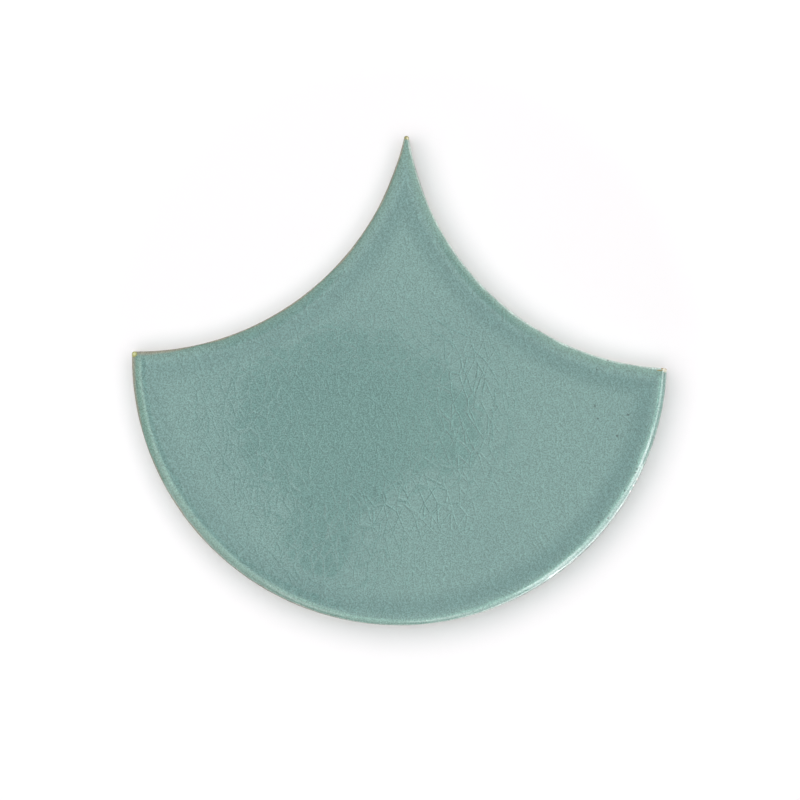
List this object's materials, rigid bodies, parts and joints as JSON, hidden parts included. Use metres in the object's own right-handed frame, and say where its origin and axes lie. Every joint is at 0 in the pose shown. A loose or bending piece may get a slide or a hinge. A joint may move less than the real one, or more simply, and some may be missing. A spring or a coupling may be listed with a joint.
{
  "type": "fish scale tile",
  "caption": "Flat fish scale wall tile of crazed glazed ceramic: semicircular lower edge, hollow upper sides that nest round its neighbours, blunt apex, grooved back for bedding.",
  "frame": {"origin": "centre of the semicircular lower edge, on the back face", "axes": "+X across the width, +Y towards the apex, +Z out of the glazed face, which lies upwards"},
  "size_m": [0.13, 0.1188, 0.009],
  "materials": {
    "crackle_glaze": "gloss"
  },
  "bodies": {
    "root": {"fish_scale_tile": "crackle_glaze"}
  },
  "joints": []
}
